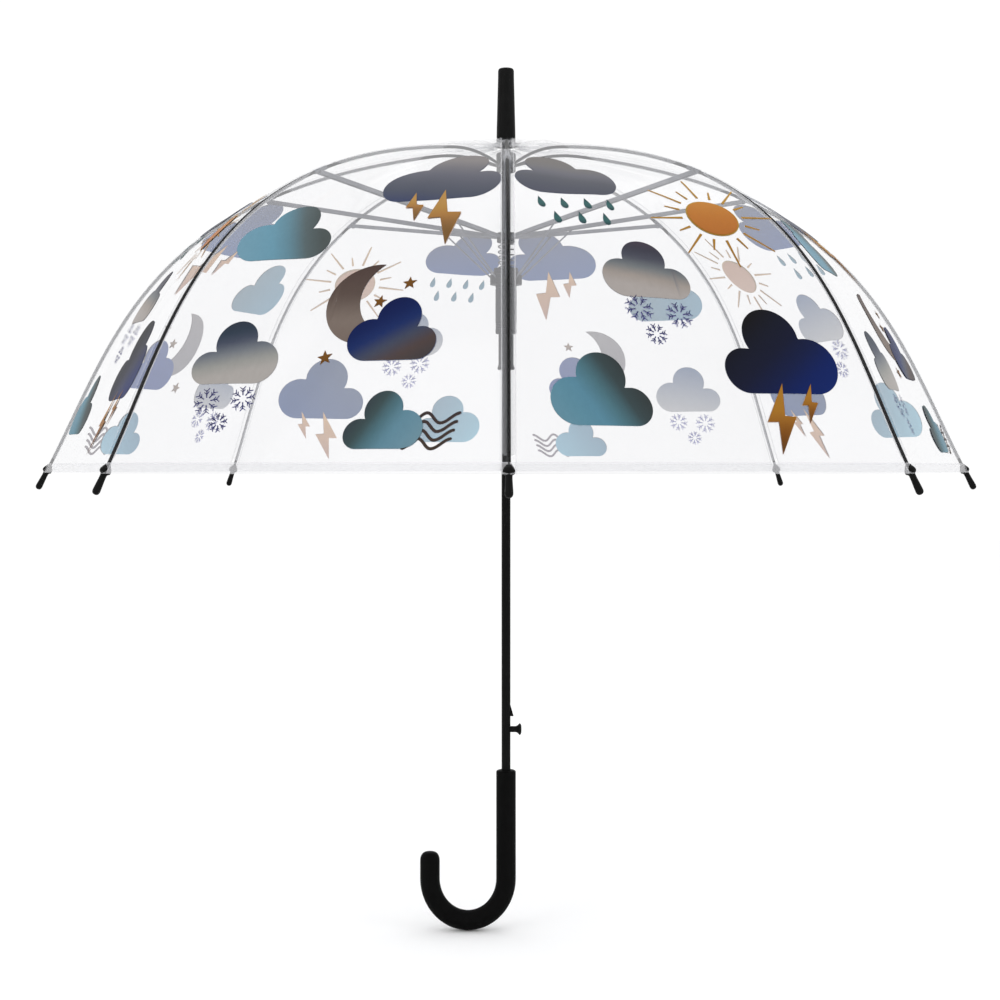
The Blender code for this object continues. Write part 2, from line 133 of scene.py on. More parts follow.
def noise(tree, scale, detail=4.0, rough=0.55, stretch=(1.0, 1.0, 1.0)):
    """Noise in object coordinates."""
    place = add_node(tree, "ShaderNodeTexCoord")
    mapping = add_node(tree, "ShaderNodeMapping")
    mapping.inputs["Scale"].default_value = stretch
    tree.links.new(place.outputs["Object"], mapping.inputs["Vector"])
    texture = add_node(tree, "ShaderNodeTexNoise", Scale=scale, Detail=detail, Roughness=rough)
    tree.links.new(mapping.outputs["Vector"], texture.inputs["Vector"])
    return texture.outputs["Fac"]


def ramp(tree, source, stops):
    node = add_node(tree, "ShaderNodeValToRGB")
    while len(node.color_ramp.elements) < len(stops):
        node.color_ramp.elements.new(0.5)
    for element, (position, colour) in zip(node.color_ramp.elements, stops):
        element.position = position
        element.color = colour
    tree.links.new(source, node.inputs["Fac"])
    return node.outputs["Color"]


def spread(tree, source, low, high):
    node = add_node(tree, "ShaderNodeMapRange")
    node.inputs["To Min"].default_value = low
    node.inputs["To Max"].default_value = high
    tree.links.new(source, node.inputs["Value"])
    return node.outputs["Result"]


def bump(tree, shader, source, strength, distance):
    node = add_node(tree, "ShaderNodeBump", Strength=strength, Distance=distance)
    tree.links.new(source, node.inputs["Height"])
    tree.links.new(node.outputs["Normal"], shader.inputs["Normal"])


def plain_finish(
    name, dark, light, rough_low, rough_high, grain, strength, metallic=0.0, depth=0.0002, gloss=0.05
):
    """A moulded, painted or drawn surface: two close shades, varied roughness and a fine grain."""
    material, tree, shader = new_material(name)
    cloudy = noise(tree, grain * 0.06)
    tree.links.new(ramp(tree, cloudy, ((0.3, dark), (0.7, light))), shader.inputs["Base Color"])
    tree.links.new(spread(tree, cloudy, rough_low, rough_high), shader.inputs["Roughness"])
    shader.inputs["Metallic"].default_value = metallic
    shader.inputs["Specular IOR Level"].default_value = gloss
    bump(tree, shader, noise(tree, grain), strength, depth)
    return material


def add_crown_haze(tree, alpha):
    """The film is crumpled and so whiter where it gathers at the crown: add to its opacity near the shaft."""
    place = add_node(tree, "ShaderNodeTexCoord")
    flat = add_node(tree, "ShaderNodeVectorMath", operation="MULTIPLY")
    flat.inputs[1].default_value = (1.0, 1.0, 0.0)
    tree.links.new(place.outputs["Object"], flat.inputs[0])
    radius = add_node(tree, "ShaderNodeVectorMath", operation="LENGTH")
    tree.links.new(flat.outputs["Vector"], radius.inputs[0])
    gathered = add_node(tree, "ShaderNodeMapRange", interpolation_type="SMOOTHSTEP")
    for socket, value in (("From Min", 0.012), ("From Max", 0.085), ("To Min", 0.30), ("To Max", 0.0)):
        gathered.inputs[socket].default_value = value
    tree.links.new(radius.outputs["Value"], gathered.inputs["Value"])
    total = add_node(tree, "ShaderNodeMath", operation="ADD")
    tree.links.new(alpha, total.inputs[0])
    tree.links.new(gathered.outputs["Result"], total.inputs[1])
    return total.outputs["Value"]


def film_finish(name, colour, alpha, roughness, grain_strength, gloss=0.5):
    """Clear plastic film with a faint haze and long soft ripples."""
    material, tree, shader = new_material(name)
    shader.inputs["Roughness"].default_value = roughness
    shader.inputs["IOR"].default_value = 1.5
    shader.inputs["Specular IOR Level"].default_value = gloss
    haze = noise(tree, 9.0, 3.0, 0.5, (1.0, 1.0, 0.35))
    near = tuple(c * 0.97 for c in colour[:3]) + (1.0,)
    tree.links.new(ramp(tree, haze, ((0.3, near), (0.7, colour))), shader.inputs["Base Color"])
    cloudy = spread(tree, haze, alpha * 0.94, alpha * 1.06)
    tree.links.new(add_crown_haze(tree, cloudy), shader.inputs["Alpha"])
    bump(tree, shader, noise(tree, 38.0, 3.0, 0.6, (1.0, 1.0, 0.3)), grain_strength, 0.0012)
    return material


def ink_finish():
    """Printed ink: each motif's shades are stored on its points, and a fine foil mottle breaks them up."""
    material, tree, shader = new_material("printed_ink")
    shade = add_node(tree, "ShaderNodeVertexColor", layer_name="ink")
    mottle = noise(tree, 260.0, 5.0, 0.6, (1.0, 1.0, 0.4))
    mix = add_node(tree, "ShaderNodeMix", data_type="RGBA", blend_type="MULTIPLY")
    mix.inputs["Factor"].default_value = 0.14
    tree.links.new(shade.outputs["Color"], mix.inputs["A"])
    grey = ramp(tree, mottle, ((0.25, linear(190, 190, 190)), (0.75, linear(255, 255, 255))))
    tree.links.new(grey, mix.inputs["B"])
    tree.links.new(mix.outputs["Result"], shader.inputs["Base Color"])
    tree.links.new(spread(tree, mottle, 0.38, 0.5), shader.inputs["Roughness"])
    shader.inputs["Specular IOR Level"].default_value = 0.03
    shader.inputs["Coat Weight"].default_value = 0.05
    shader.inputs["Coat Roughness"].default_value = 0.2
    return material


BLACK_PAINT = plain_finish("black_paint", linear(12, 12, 12), linear(17, 17, 17), 0.25, 0.35, 900.0, 0.15)
BLACK_PLASTIC = plain_finish("black_plastic", linear(14, 14, 14), linear(20, 20, 20), 0.38, 0.5, 1400.0, 0.25)
SOFT_BLACK = plain_finish(
    "soft_black", linear(9, 9, 9), linear(13, 13, 13), 0.5, 0.62, 2200.0, 0.35, gloss=0.03
)
RIB_BLACK = plain_finish("black_glass_fibre", linear(10, 10, 10), linear(16, 16, 16), 0.3, 0.42, 700.0, 0.2)
LINK_STEEL = plain_finish(
    "link_steel", linear(92, 94, 100), linear(118, 120, 126), 0.3, 0.45, 800.0, 0.2, 0.3
)
SPRING_STEEL = plain_finish(
    "spring_steel", linear(70, 70, 72), linear(105, 105, 108), 0.25, 0.4, 900.0, 0.2, 0.9
)
FILM_CLEAR = film_finish("clear_film", linear(221, 221, 224), 0.28, 0.12, 0.35)
SEAM_CLEAR = film_finish("welded_seam", linear(205, 206, 210), 0.03, 0.08, 0.8, 0.15)
POCKET_CLEAR = film_finish("rib_pocket", linear(214, 215, 219), 0.30, 0.12, 0.8)
# The weld line's more opaque strip is partly the real weld and partly a painted highlight along a seam's
# edge.
WELD_LINE_AND_HIGHLIGHT = film_finish("weld_line_and_painted_highlight", linear(214, 214, 218), 0.42, 0.15, 0.6)
HEM_CLEAR = film_finish("hem_weld", linear(221, 221, 224), 0.28, 0.15, 0.5)
INK = ink_finish()


# ------------ mesh helpers
def new_piece(name, points, faces, material, smooth=True):
    mesh = bpy.data.meshes.new(name)
    mesh.from_pydata([tuple(map(float, p)) for p in points], [], faces)
    mesh.validate()
    mesh.materials.append(material)
    obj = bpy.data.objects.new(name, mesh)
    bpy.context.collection.objects.link(obj)
    if smooth:
        mesh.shade_smooth()
        mesh.set_sharp_from_angle(angle=math.radians(38.0))
    return obj


def tube_faces(rings, sides):
    """Faces between rings of points, and one across each end."""
    faces = []
    for i in range(rings - 1):
        a, b = i * sides, (i + 1) * sides
        for j in range(sides):
            k = (j + 1) % sides
            faces.append((a + j, a + k, b + k, b + j))
    faces.append(tuple(reversed(range(sides))))
    faces.append(tuple(range((rings - 1) * sides, rings * sides)))
    return faces


def outward(obj):
    """Face a closed piece's surface outwards."""
    shape = bmesh.new()
    shape.from_mesh(obj.data)
    bmesh.ops.recalc_face_normals(shape, faces=shape.faces)
    shape.to_mesh(obj.data)
    shape.free()
    return obj


def rounded(profile, radius, steps=4):
    """An outline with each of its corners replaced by a small arc."""
    out = []
    count = len(profile)
    for i, corner in enumerate(profile):
        here = Vector(corner)
        before = Vector(profile[i - 1]) - here
        after = Vector(profile[(i + 1) % count]) - here
        if here.x < 1e-6 or before.length < 1e-7 or after.length < 1e-7:
            out.append(tuple(here))
            continue
        reach = min(radius, before.length * 0.45, after.length * 0.45)
        a = here + before.normalized() * reach
        b = here + after.normalized() * reach
        for s in range(steps + 1):
            t = s / steps
            point = a * (1 - t) ** 2 + here * 2 * t * (1 - t) + b * t * t
            out.append((point.x, point.y))
    return out


def lathe(name, profile, material, sides=56, matrix=None):
    """Turn a closed outline of (radius, height) about Z."""
    points, index = [], []
    for radius, height in profile:
        if radius < 1e-6:
            index.append([len(points)] * sides)
            points.append((0.0, 0.0, height))
            continue
        index.append([len(points) + j for j in range(sides)])
        for j in range(sides):
            angle = 2 * math.pi * j / sides
            points.append((radius * math.cos(angle), radius * math.sin(angle), height))
    faces = []
    for i, lower in enumerate(index):
        upper = index[(i + 1) % len(index)]
        if lower[0] == lower[1] and upper[0] == upper[1]:
            continue
        for j in range(sides):
            k = (j + 1) % sides
            faces.append(tuple(dict.fromkeys((lower[j], lower[k], upper[k], upper[j]))))
    obj = new_piece(name, points, faces, material)
    if matrix is not None:
        obj.data.transform(matrix)
    return outward(obj)


def sweep(name, path, sections, material, azimuth=0.0):
    """Carry sections of (across, up) along a path of (radius, height) in the plane at an azimuth."""
    points = []
    last = len(path) - 1
    for i, here in enumerate(path):
        a, b = path[max(i - 1, 0)], path[min(i + 1, last)]
        along = Vector((b[0] - a[0], b[1] - a[1])).normalized()
        for across, rise in sections(i / last):
            points.append((here[0] - along.y * rise, across, here[1] + along.x * rise))
    sides = len(sections(0.0))
    obj = new_piece(name, points, tube_faces(len(path), sides), material)
    obj.data.transform(turned(azimuth))
    return outward(obj)


def ring(radius, sides, flat=1.0):
    return [
        (radius * flat * math.cos(2 * math.pi * j / sides), radius * math.sin(2 * math.pi * j / sides))
        for j in range(sides)
    ]


def disc(name, centre, radius, half_thick, material, azimuth=0.0, sides=24, edge=0.0002):
    """A plate on edge, round about the across axis, at a centre of (radius, height)."""
    corners = [(0.0, -half_thick), (radius, -half_thick), (radius, half_thick), (0.0, half_thick)]
    profile = rounded(corners, edge, 2)
    obj = lathe(name, profile, material, sides)
    lay = Matrix.Rotation(math.radians(90.0), 4, "X")
    obj.data.transform(turned(azimuth) @ Matrix.Translation((centre[0], 0.0, centre[1])) @ lay)
    return obj


def join(name, pieces):
    """One object from several, keeping their materials."""
    shape = bmesh.new()
    slots = []
    for piece in pieces:
        part = piece.data.copy()
        offset = {}
        for i, material in enumerate(part.materials):
            if material not in slots:
                slots.append(material)
            offset[i] = slots.index(material)
        for polygon in part.polygons:
            polygon.material_index = offset[polygon.material_index]
        shape.from_mesh(part)
    mesh = bpy.data.meshes.new(name)
    shape.to_mesh(mesh)
    shape.free()
    for material in slots:
        mesh.materials.append(material)
    for piece in pieces:
        bpy.data.objects.remove(piece, do_unlink=True)
    obj = bpy.data.objects.new(name, mesh)
    bpy.context.collection.objects.link(obj)
    return obj


def cut(obj, tools):
    """Cut tools away from a piece, and keep the result as its mesh."""
    for tool in tools:
        step = obj.modifiers.new("cut", "BOOLEAN")
        step.operation = "DIFFERENCE"
        step.solver = "EXACT"
        step.object = tool
    graph = bpy.context.evaluated_depsgraph_get()
    mesh = bpy.data.meshes.new_from_object(obj.evaluated_get(graph))
    obj.modifiers.clear()
    obj.data = mesh
    for tool in tools:
        bpy.data.objects.remove(tool, do_unlink=True)
    mesh.set_sharp_from_angle(angle=math.radians(38.0))
    return obj


def finish_piece(obj, body, slot, *nodes):
    """Give a rigid piece its body and hide the CAD nodes that it stands for. The slot is not used."""
    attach(obj, body)
    if nodes:
        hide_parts(*nodes)
    return obj


# ------------ the film's surface
def bezier(t, points=FILM):
    """A point on a cubic curve, which is the film's own unless others are given."""
    weights = ((1 - t) ** 3, 3 * (1 - t) ** 2 * t, 3 * (1 - t) * t * t, t**3)
    return Vector([sum(w * p[k] for w, p in zip(weights, points)) for k in (0, 1)])


# The film's curve runs on past the rib's, to the hem
HEM_SHARE = 1.0 + HEM_PAST_RIB / (3 * (Vector(FILM[3]) - Vector(FILM[2])).length)


def mid_point(t):
    """The curve along a gore's centre line, which is a straight chord's middle, so nearer the shaft."""
    point = bezier(t)
    return Vector((point.x * math.cos(HALF), point.y))


FINE = 800
SHARES = [HEM_SHARE * i / FINE for i in range(FINE + 1)]
MID = [mid_point(t) for t in SHARES]
RUN = [0.0]
for _a, _b in zip(MID, MID[1:]):
    RUN.append(RUN[-1] + (_b - _a).length)
GORE_LENGTH = RUN[-1]


def share_at(run):
    """The curve's share at a length along the gore's centre line."""
    return float(np.interp(run, RUN, SHARES))


def half_width(run):
    return bezier(share_at(run)).x * math.sin(HALF)


def gore_frame(run):
    """Centre-line point and outward direction, both as (radius, height), at a length from the crown."""
    t = share_at(run)
    a, b = mid_point(max(t - 0.002, 0.0)), mid_point(min(t + 0.002, HEM_SHARE))
    along = (b - a).normalized()
    return mid_point(t), Vector((-along.y, along.x))


def ripple(across, run):
    """Slack in the film: long soft ripples between the ribs and finer creases gathered at the crown."""
    width = half_width(run)
    share = across / width
    calm = max(0.0, 1.0 - share * share) * min(1.0, (GORE_LENGTH - run) / 0.03)
    long_wave = 0.0009 * math.sin(9.0 * share + 26.0 * run) * math.sin(19.0 * run + 2.0 * share)
    creases = 0.0011 * math.exp(-run / 0.07) * math.sin(15.0 * share + 40.0 * run)
    return calm * (long_wave + creases)


def on_gore(azimuth, across, run, lift=0.0):
    """A point on the film of the gore whose centre line is at an azimuth."""
    centre, out = gore_frame(run)
    rise = lift + ripple(across, run)
    radius = centre.x + out.x * rise
    height = centre.y + out.y * rise
    c, s = math.cos(azimuth), math.sin(azimuth)
    return (radius * c - across * s, radius * s + across * c, height)


def leaf_of(gore, side):
    """The CAD leaf on one side of a gore: side -1 is next to its own rib, +1 next to the following rib."""
    if side < 0:
        return f"rib_{gore}", f"leaf_{gore}_left", rib_azimuth(gore), 1.0
    following = gore % RIBS + 1
    return f"rib_{following}", f"leaf_{following}_right", rib_azimuth(following), -1.0


def fold_with(obj):
    """Bake a piece of film's placement into its mesh."""
    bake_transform(obj)
    return obj


def film_strip(name, gore, side, run_from, run_to, rows, inner, outer, columns, lift, material, welded=None):
    """A part of half a gore. inner and outer give the distances from the gore's centre line at a run, lift
    the height off the film at a run and a share of the way out, and welded which cells are a weld line,
    drawn as a more opaque strip that is partly the weld and partly a painted highlight along the seam."""
    azimuth = rib_azimuth(gore) + HALF
    points = []
    for i in range(rows + 1):
        run = run_from + (run_to - run_from) * i / rows
        low, high = inner(run), outer(run)
        for j in range(columns + 1):
            across = low + (high - low) * j / columns
            points.append(on_gore(azimuth, side * across, run, lift(run, j / columns)))
    faces, lines = [], []
    for i in range(rows):
        for j in range(columns):
            lines.append(1 if welded and welded(i, j) else 0)
            a = i * (columns + 1) + j
            quad = (a, a + columns + 1, a + columns + 2, a + 1)
            faces.append(quad if side > 0 else tuple(reversed(quad)))
    obj = new_piece(name, points, faces, material)
    # Weld-line cells take the finish that is partly the weld and partly a painted highlight.
    if welded:
        obj.data.materials.append(WELD_LINE_AND_HIGHLIGHT)
        obj.data.polygons.foreach_set("material_index", lines[: len(obj.data.polygons)])
    return fold_with(obj)


joint_radius = Vector(pivots["stretcher_1_joint"][:2]).length
JOINT_RUN = float(np.interp(joint_radius, [bezier(t).x for t in SHARES], RUN))


def pocket_lift(run, share):
    """The inner half of the rib's pocket: it leaves the film at the weld and passes under the rib, except
    at the crown and round the stretcher's joint, where it lies on the rib."""
    open_here = min(1.0, abs(run - JOINT_RUN) / 0.008 - 1.6, (run - 0.060) / 0.012)
    depth = POCKET_DEPTH * max(0.0, open_here)
    rounded_share = math.sin(min(1.0, share * 1.25) * math.pi / 2)
    return 0.0002 - depth * rounded_share


def make_gore(gore):
    for side in (-1, 1):
        word = "a" if side < 0 else "b"
        rib, leaf = leaf_of(gore, side)[:2]
        film = film_strip(
            f"film_{gore}_{word}", gore, side, 0.0, GORE_LENGTH, 84,
            lambda r: 0.0, lambda r: max(half_width(r) - FILM_FROM_RIB, 0.0002), 26,
            lambda r, s: 0.0, FILM_CLEAR,
        )
        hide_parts(leaf)
        # The seam strip's first column is its weld line, partly the weld and partly a painted highlight along
        # the seam's edge.
        seam = film_strip(
            f"seam_{gore}_{word}", gore, side, 0.004, GORE_LENGTH - 0.0004, 110,
            lambda r: max(half_width(r) - SEAM_HALF, 0.0), lambda r: half_width(r) - 0.00002, 8,
            lambda r, s: 0.0005, SEAM_CLEAR, lambda i, j: j == 0,
        )
        pocket = film_strip(
            f"pocket_{gore}_{word}", gore, side, 0.030, GORE_LENGTH - 0.016, 110,
            lambda r: max(half_width(r) - SEAM_HALF + 0.0004, 0.0), lambda r: half_width(r) - 0.00002, 8,
            pocket_lift, POCKET_CLEAR,
        )
        hem = film_strip(
            f"hem_{gore}_{word}", gore, side, GORE_LENGTH - HEM_BAND, GORE_LENGTH, 9,
            lambda r: 0.0, lambda r: half_width(r) - 0.0005, 20,
            lambda r, s: 0.0003, HEM_CLEAR, lambda i, j: i == 0,
        )


# ------------ printed motifs
def circle(x, y, radius, count=40, squash=1.0):
    turns = [2 * math.pi * i / count for i in range(count)]
    return [(x + radius * math.cos(turn), y + squash * radius * math.sin(turn)) for turn in turns]


def cloud(width, stretch=1.0, flip=1):
    """A cloud's outline round three lobes on a flat base, with its smallest lobe on the -flip side."""
    lobes = ((-0.31, 0.19, 0.19), (-0.035, 0.49, 0.243), (0.26, 0.24, 0.24))
    middle = Vector((0.0, 0.26))
    outline = []
    for angle in np.linspace(0, 2 * math.pi, 144, False):
        ray = Vector((math.cos(angle), math.sin(angle)))
        reach = 0.0
        for x, y, radius in lobes:
            to_lobe = Vector((x, y)) - middle
            along = to_lobe.dot(ray)
            inside = radius * radius - (to_lobe.length_squared - along * along)
            if inside > 0.0:
                reach = max(reach, along + math.sqrt(inside))
        if ray.y < 0.0:
            base = -middle.y / ray.y
            if lobes[0][0] < middle.x + base * ray.x < lobes[2][0]:
                reach = base
        x, y = middle + ray * reach
        outline.append((flip * width * x, width * stretch * y))
    return [outline]


def bolt(height, lean):
    outline = ((0.0, 1.0), (0.016, 0.54), (0.184, 0.524), (-0.044, 0.0), (-0.076, 0.454), (-0.238, 0.454))
    slant = math.tan(lean)
    return [[(height * (x + slant * (y - 0.5)), height * y) for x, y in outline]]


def crescent(radius, bite, shift, tilt):
    """A moon: a disc with a smaller disc bitten out of it, as one outline."""
    gap = (shift * shift + radius * radius - bite * bite) / (2 * shift)
    reach = math.sqrt(radius * radius - gap * gap)
    outer_angle = math.atan2(reach, gap)
    inner_angle = math.atan2(reach, gap - shift)
    outer = np.linspace(outer_angle, 2 * math.pi - outer_angle, 44)
    inner = np.linspace(2 * math.pi - inner_angle, inner_angle, 36)[1:-1]
    outline = [(radius * math.cos(a), radius * math.sin(a)) for a in outer]
    outline += [(shift + bite * math.cos(a), bite * math.sin(a)) for a in inner]
    c, s = math.cos(tilt), math.sin(tilt)
    return [[(x * c - y * s, x * s + y * c) for x, y in outline]]


def star(radius, turn=0.0):
    outline = []
    for i in range(10):
        reach = radius if i % 2 == 0 else radius * 0.42
        angle = math.pi / 2 + turn + math.pi * i / 5
        outline.append((reach * math.cos(angle), reach * math.sin(angle)))
    return [outline]


def bar(x0, y0, x1, y1, width, end_width=None):
    along = Vector((x1 - x0, y1 - y0)).normalized()
    side = Vector((-along.y, along.x)) * width / 2
    tip = side * ((end_width if end_width is not None else width) / width)
    start, end = Vector((x0, y0)), Vector((x1, y1))
    return [tuple(start + side), tuple(start - side), tuple(end - tip), tuple(end + tip)]


def snowflake(radius):
    """Eight dashes about an empty middle, each with a feathered outer end."""
    shapes = []
    for i in range(8):
        angle = math.pi * i / 4 + 0.2
        c, s = math.cos(angle), math.sin(angle)
        near, far = 0.28 * radius, 0.80 * radius
        shapes.append(bar(near * c, near * s, far * c, far * s, 0.0009, 0.0006))
        for foot, length in ((0.52, 0.26), (0.72, 0.30)):
            x, y = foot * radius * c, foot * radius * s
            for way in (-0.8, 0.8):
                tip_x = x + length * radius * math.cos(angle + way)
                tip_y = y + length * radius * math.sin(angle + way)
                shapes.append(bar(x, y, tip_x, tip_y, 0.0007, 0.0005))
    return shapes


def drop(height):
    outline = []
    for i in range(22):
        a = 2 * math.pi * i / 22
        pinch = 0.5 * (1 - math.cos(a))
        outline.append((0.30 * height * math.sin(a) * pinch ** 0.8, 0.5 * height * (1 + math.cos(a))))
    return [outline]


def waves(gap, rise, half_thick):
    """Four wavy lines one above another, each ending on a crest at the right."""
    places, phases = (-0.0385, -0.0265, -0.0153, 0.0), (-3 * math.pi, -2 * math.pi, -math.pi, 0.0)
    shapes = []
    for row in range(4):
        start = places[0] if row == 0 else -0.034
        line = [
            Vector((x + 0.0013 * row, row * gap + rise * math.cos(float(np.interp(x, places, phases)))))
            for x in np.linspace(start, 0.0, 40)
        ]
        top, low = [], []
        for i, here in enumerate(line):
            along = (line[min(i + 1, 39)] - line[max(i - 1, 0)]).normalized()
            reach = Vector((-along.y, along.x)) * half_thick * (0.55 if i in (0, 39) else 1.0)
            top.append(tuple(here + reach))
            low.append(tuple(here - reach))
        shapes.append(top + low[::-1])
    return shapes


def rays(radius, count):
    """Long and short tapered bars in turn, round a disc."""
    shapes = []
    for i in range(count):
        angle = 2 * math.pi * i / count + 0.08
        reach = radius * (1.85 if i % 2 else 2.6)
        c, s = math.cos(angle), math.sin(angle)
        shapes.append(bar(1.27 * radius * c, 1.27 * radius * s, reach * c, reach * s, 0.0023, 0.0012))
    return shapes


# Shades of each ink as (share of the way along the motif, display colour)
GOLD = (
    (0.22, (180, 136, 71)), (0.36, (177, 133, 66)), (0.5, (168, 120, 63)), (0.64, (141, 101, 58)),
    (0.78, (123, 90, 51)),
)
GOLD_UP = (
    (0.08, (102, 67, 31)), (0.22, (116, 69, 23)), (0.36, (134, 83, 27)), (0.5, (156, 103, 37)),
    (0.64, (168, 116, 39)),
)
RAY_GOLD = ((0.0, (188, 144, 56)), (1.0, (160, 114, 44)))
NAVY_INK = ((0.0, (52, 50, 92)), (1.0, (58, 62, 112)))
DROP_INK = ((0.0, (34, 56, 58)), (0.6, (58, 104, 104)), (1.0, (44, 70, 72)))
DUSK = (
    (0.22, (131, 126, 126)), (0.36, (111, 109, 115)), (0.5, (94, 95, 107)), (0.64, (83, 86, 99)),
    (0.78, (74, 79, 94)), (1.0, (52, 62, 100)),
)
TEAL_LEFT = (
    (0.08, (113, 155, 174)), (0.36, (105, 152, 172)), (0.5, (98, 136, 151)), (0.64, (88, 102, 105)),
    (0.78, (77, 85, 85)),
)
NIGHT = (
    (0.2, (12, 24, 74)), (0.36, (15, 32, 84)), (0.5, (24, 44, 98)), (0.64, (66, 72, 91)),
    (0.78, (80, 66, 64)), (0.92, (67, 62, 64)),
)
MIST = (
    (0.22, (172, 167, 163)), (0.36, (153, 153, 149)), (0.5, (117, 122, 129)), (0.64, (73, 79, 96)),
    (0.78, (49, 61, 76)), (0.92, (48, 55, 68)),
)
DEEP_TEAL = (
    (0.22, (54, 64, 70)), (0.36, (60, 78, 80)), (0.5, (77, 113, 124)), (0.64, (95, 136, 153)),
    (0.78, (102, 141, 158)), (0.92, (109, 143, 157)),
)
MOON = ((0.0, (78, 62, 58)), (0.4, (92, 78, 72)), (0.7, (125, 112, 104)), (1.0, (118, 104, 96)))
DUSK_RIGHT = (
    (0.22, (118, 114, 112)), (0.36, (116, 114, 115)), (0.5, (106, 106, 115)), (0.64, (88, 90, 99)),
    (0.8, (80, 83, 95)), (1.0, (76, 78, 94)),
)
MIST_RIGHT = (
    (0.22, (171, 164, 160)), (0.36, (159, 150, 143)), (0.5, (115, 120, 123)), (0.64, (77, 79, 91)),
    (0.78, (62, 62, 74)), (0.92, (68, 60, 72)),
)
MIDNIGHT = (
    (0.0, (10, 36, 104)), (0.22, (12, 32, 92)), (0.36, (18, 28, 68)), (0.5, (20, 24, 48)),
    (0.64, (20, 23, 39)), (0.78, (20, 19, 22)),
)
SEA = (
    (0.08, (101, 143, 160)), (0.22, (94, 140, 158)), (0.36, (90, 137, 157)), (0.5, (77, 115, 126)),
    (0.64, (60, 74, 77)), (0.78, (55, 62, 63)),
)
SUN = ((0.0, (192, 126, 48)), (0.5, (184, 114, 46)), (1.0, (176, 106, 46)))
SUN_RING = ((0.0, (188, 148, 60)), (1.0, (176, 134, 54)))
BROWN = ((0.0, (62, 52, 52)), (1.0, (66, 54, 46)))
STAR = ((0.0, (120, 80, 34)), (1.0, (108, 70, 28)))

# What the inks look like from inside the dome, where their pale backing shows
PALE = {
    id(DUSK): ((107, 113, 132), (92, 118, 170)), id(DUSK_RIGHT): ((107, 113, 132), (86, 112, 166)),
    id(TEAL_LEFT): ((137, 177, 200), (140, 160, 172)), id(NIGHT): ((100, 118, 165), (72, 96, 160)),
    id(MIST): ((204, 204, 206), (110, 132, 166)), id(MIST_RIGHT): ((204, 204, 206), (110, 132, 166)),
    id(DEEP_TEAL): ((117, 150, 175), (150, 200, 222)), id(MOON): ((169, 166, 168), (160, 158, 164)),
    id(MIDNIGHT): ((62, 98, 156), (90, 106, 134)), id(SEA): ((150, 203, 224), (125, 150, 170)),
    id(SUN): ((206, 168, 146), (212, 180, 162)), id(SUN_RING): ((210, 185, 150), (200, 170, 140)),
    id(GOLD): ((224, 184, 140), (196, 160, 146)), id(GOLD_UP): ((196, 160, 146), (224, 184, 140)),
    id(RAY_GOLD): ((222, 190, 150), (206, 176, 150)), id(DROP_INK): ((110, 150, 165), (125, 160, 180)),
    id(NAVY_INK): ((120, 122, 190), (140, 142, 205)), id(BROWN): ((150, 142, 150), (140, 132, 142)),
    id(STAR): ((170, 150, 130), (150, 136, 130)),
}

# Each motif: outlines, place as (across, run from the crown to its foot), shades, their direction and level
UP, DOWN, DUSK_WAY, DUSK_RIGHT_WAY = (0, 1), (0, -1), (-0.22, -0.975), (-0.17, -0.98)
STORM_GORE = [
    (cloud(0.1033, 1.07, -1), (0.0526, 0.2952), DUSK, DUSK_WAY, 0),
    (bolt(0.070, -0.33), (0.072, 0.352), GOLD, DOWN, 1),
    (bolt(0.038, -0.30), (0.041, 0.322), GOLD, DOWN, 1),
    (cloud(0.0851, 1.04, -1), (-0.0645, 0.3580), TEAL_LEFT, (0.94, 0.34), 0),
    (crescent(0.0364, 0.037, 0.0289, 0.245), (0.031, 0.405), MOON, DOWN, 0),
    (star(0.0062, 0.1), (0.0613, 0.389), STAR, DOWN, 0),
    (star(0.0062, -0.1), (0.040, 0.405), STAR, DOWN, 0),
    (star(0.0068, 0.2), (0.004, 0.4525), STAR, DOWN, 0),
    (cloud(0.0737, 1.0, -1), (0.0573, 0.4562), NIGHT, (0.50, -0.87), 1),
    (cloud(0.0752, 1.0, 1), (-0.0738, 0.4731), MIST, (-0.17, 0.98), 0),
    (snowflake(0.0120), (-0.0905, 0.488), NAVY_INK, DOWN, 0),
    (snowflake(0.0110), (-0.0590, 0.486), NAVY_INK, DOWN, 0),
    (snowflake(0.0085), (-0.0760, 0.506), NAVY_INK, DOWN, 0),
    (cloud(0.0637, 1.0, 1), (0.0650, 0.5285), DEEP_TEAL, (0.87, -0.50), 1),
    (waves(0.0068, 0.0040, 0.0012), (0.121, 0.5245), BROWN, DOWN, 0),
]
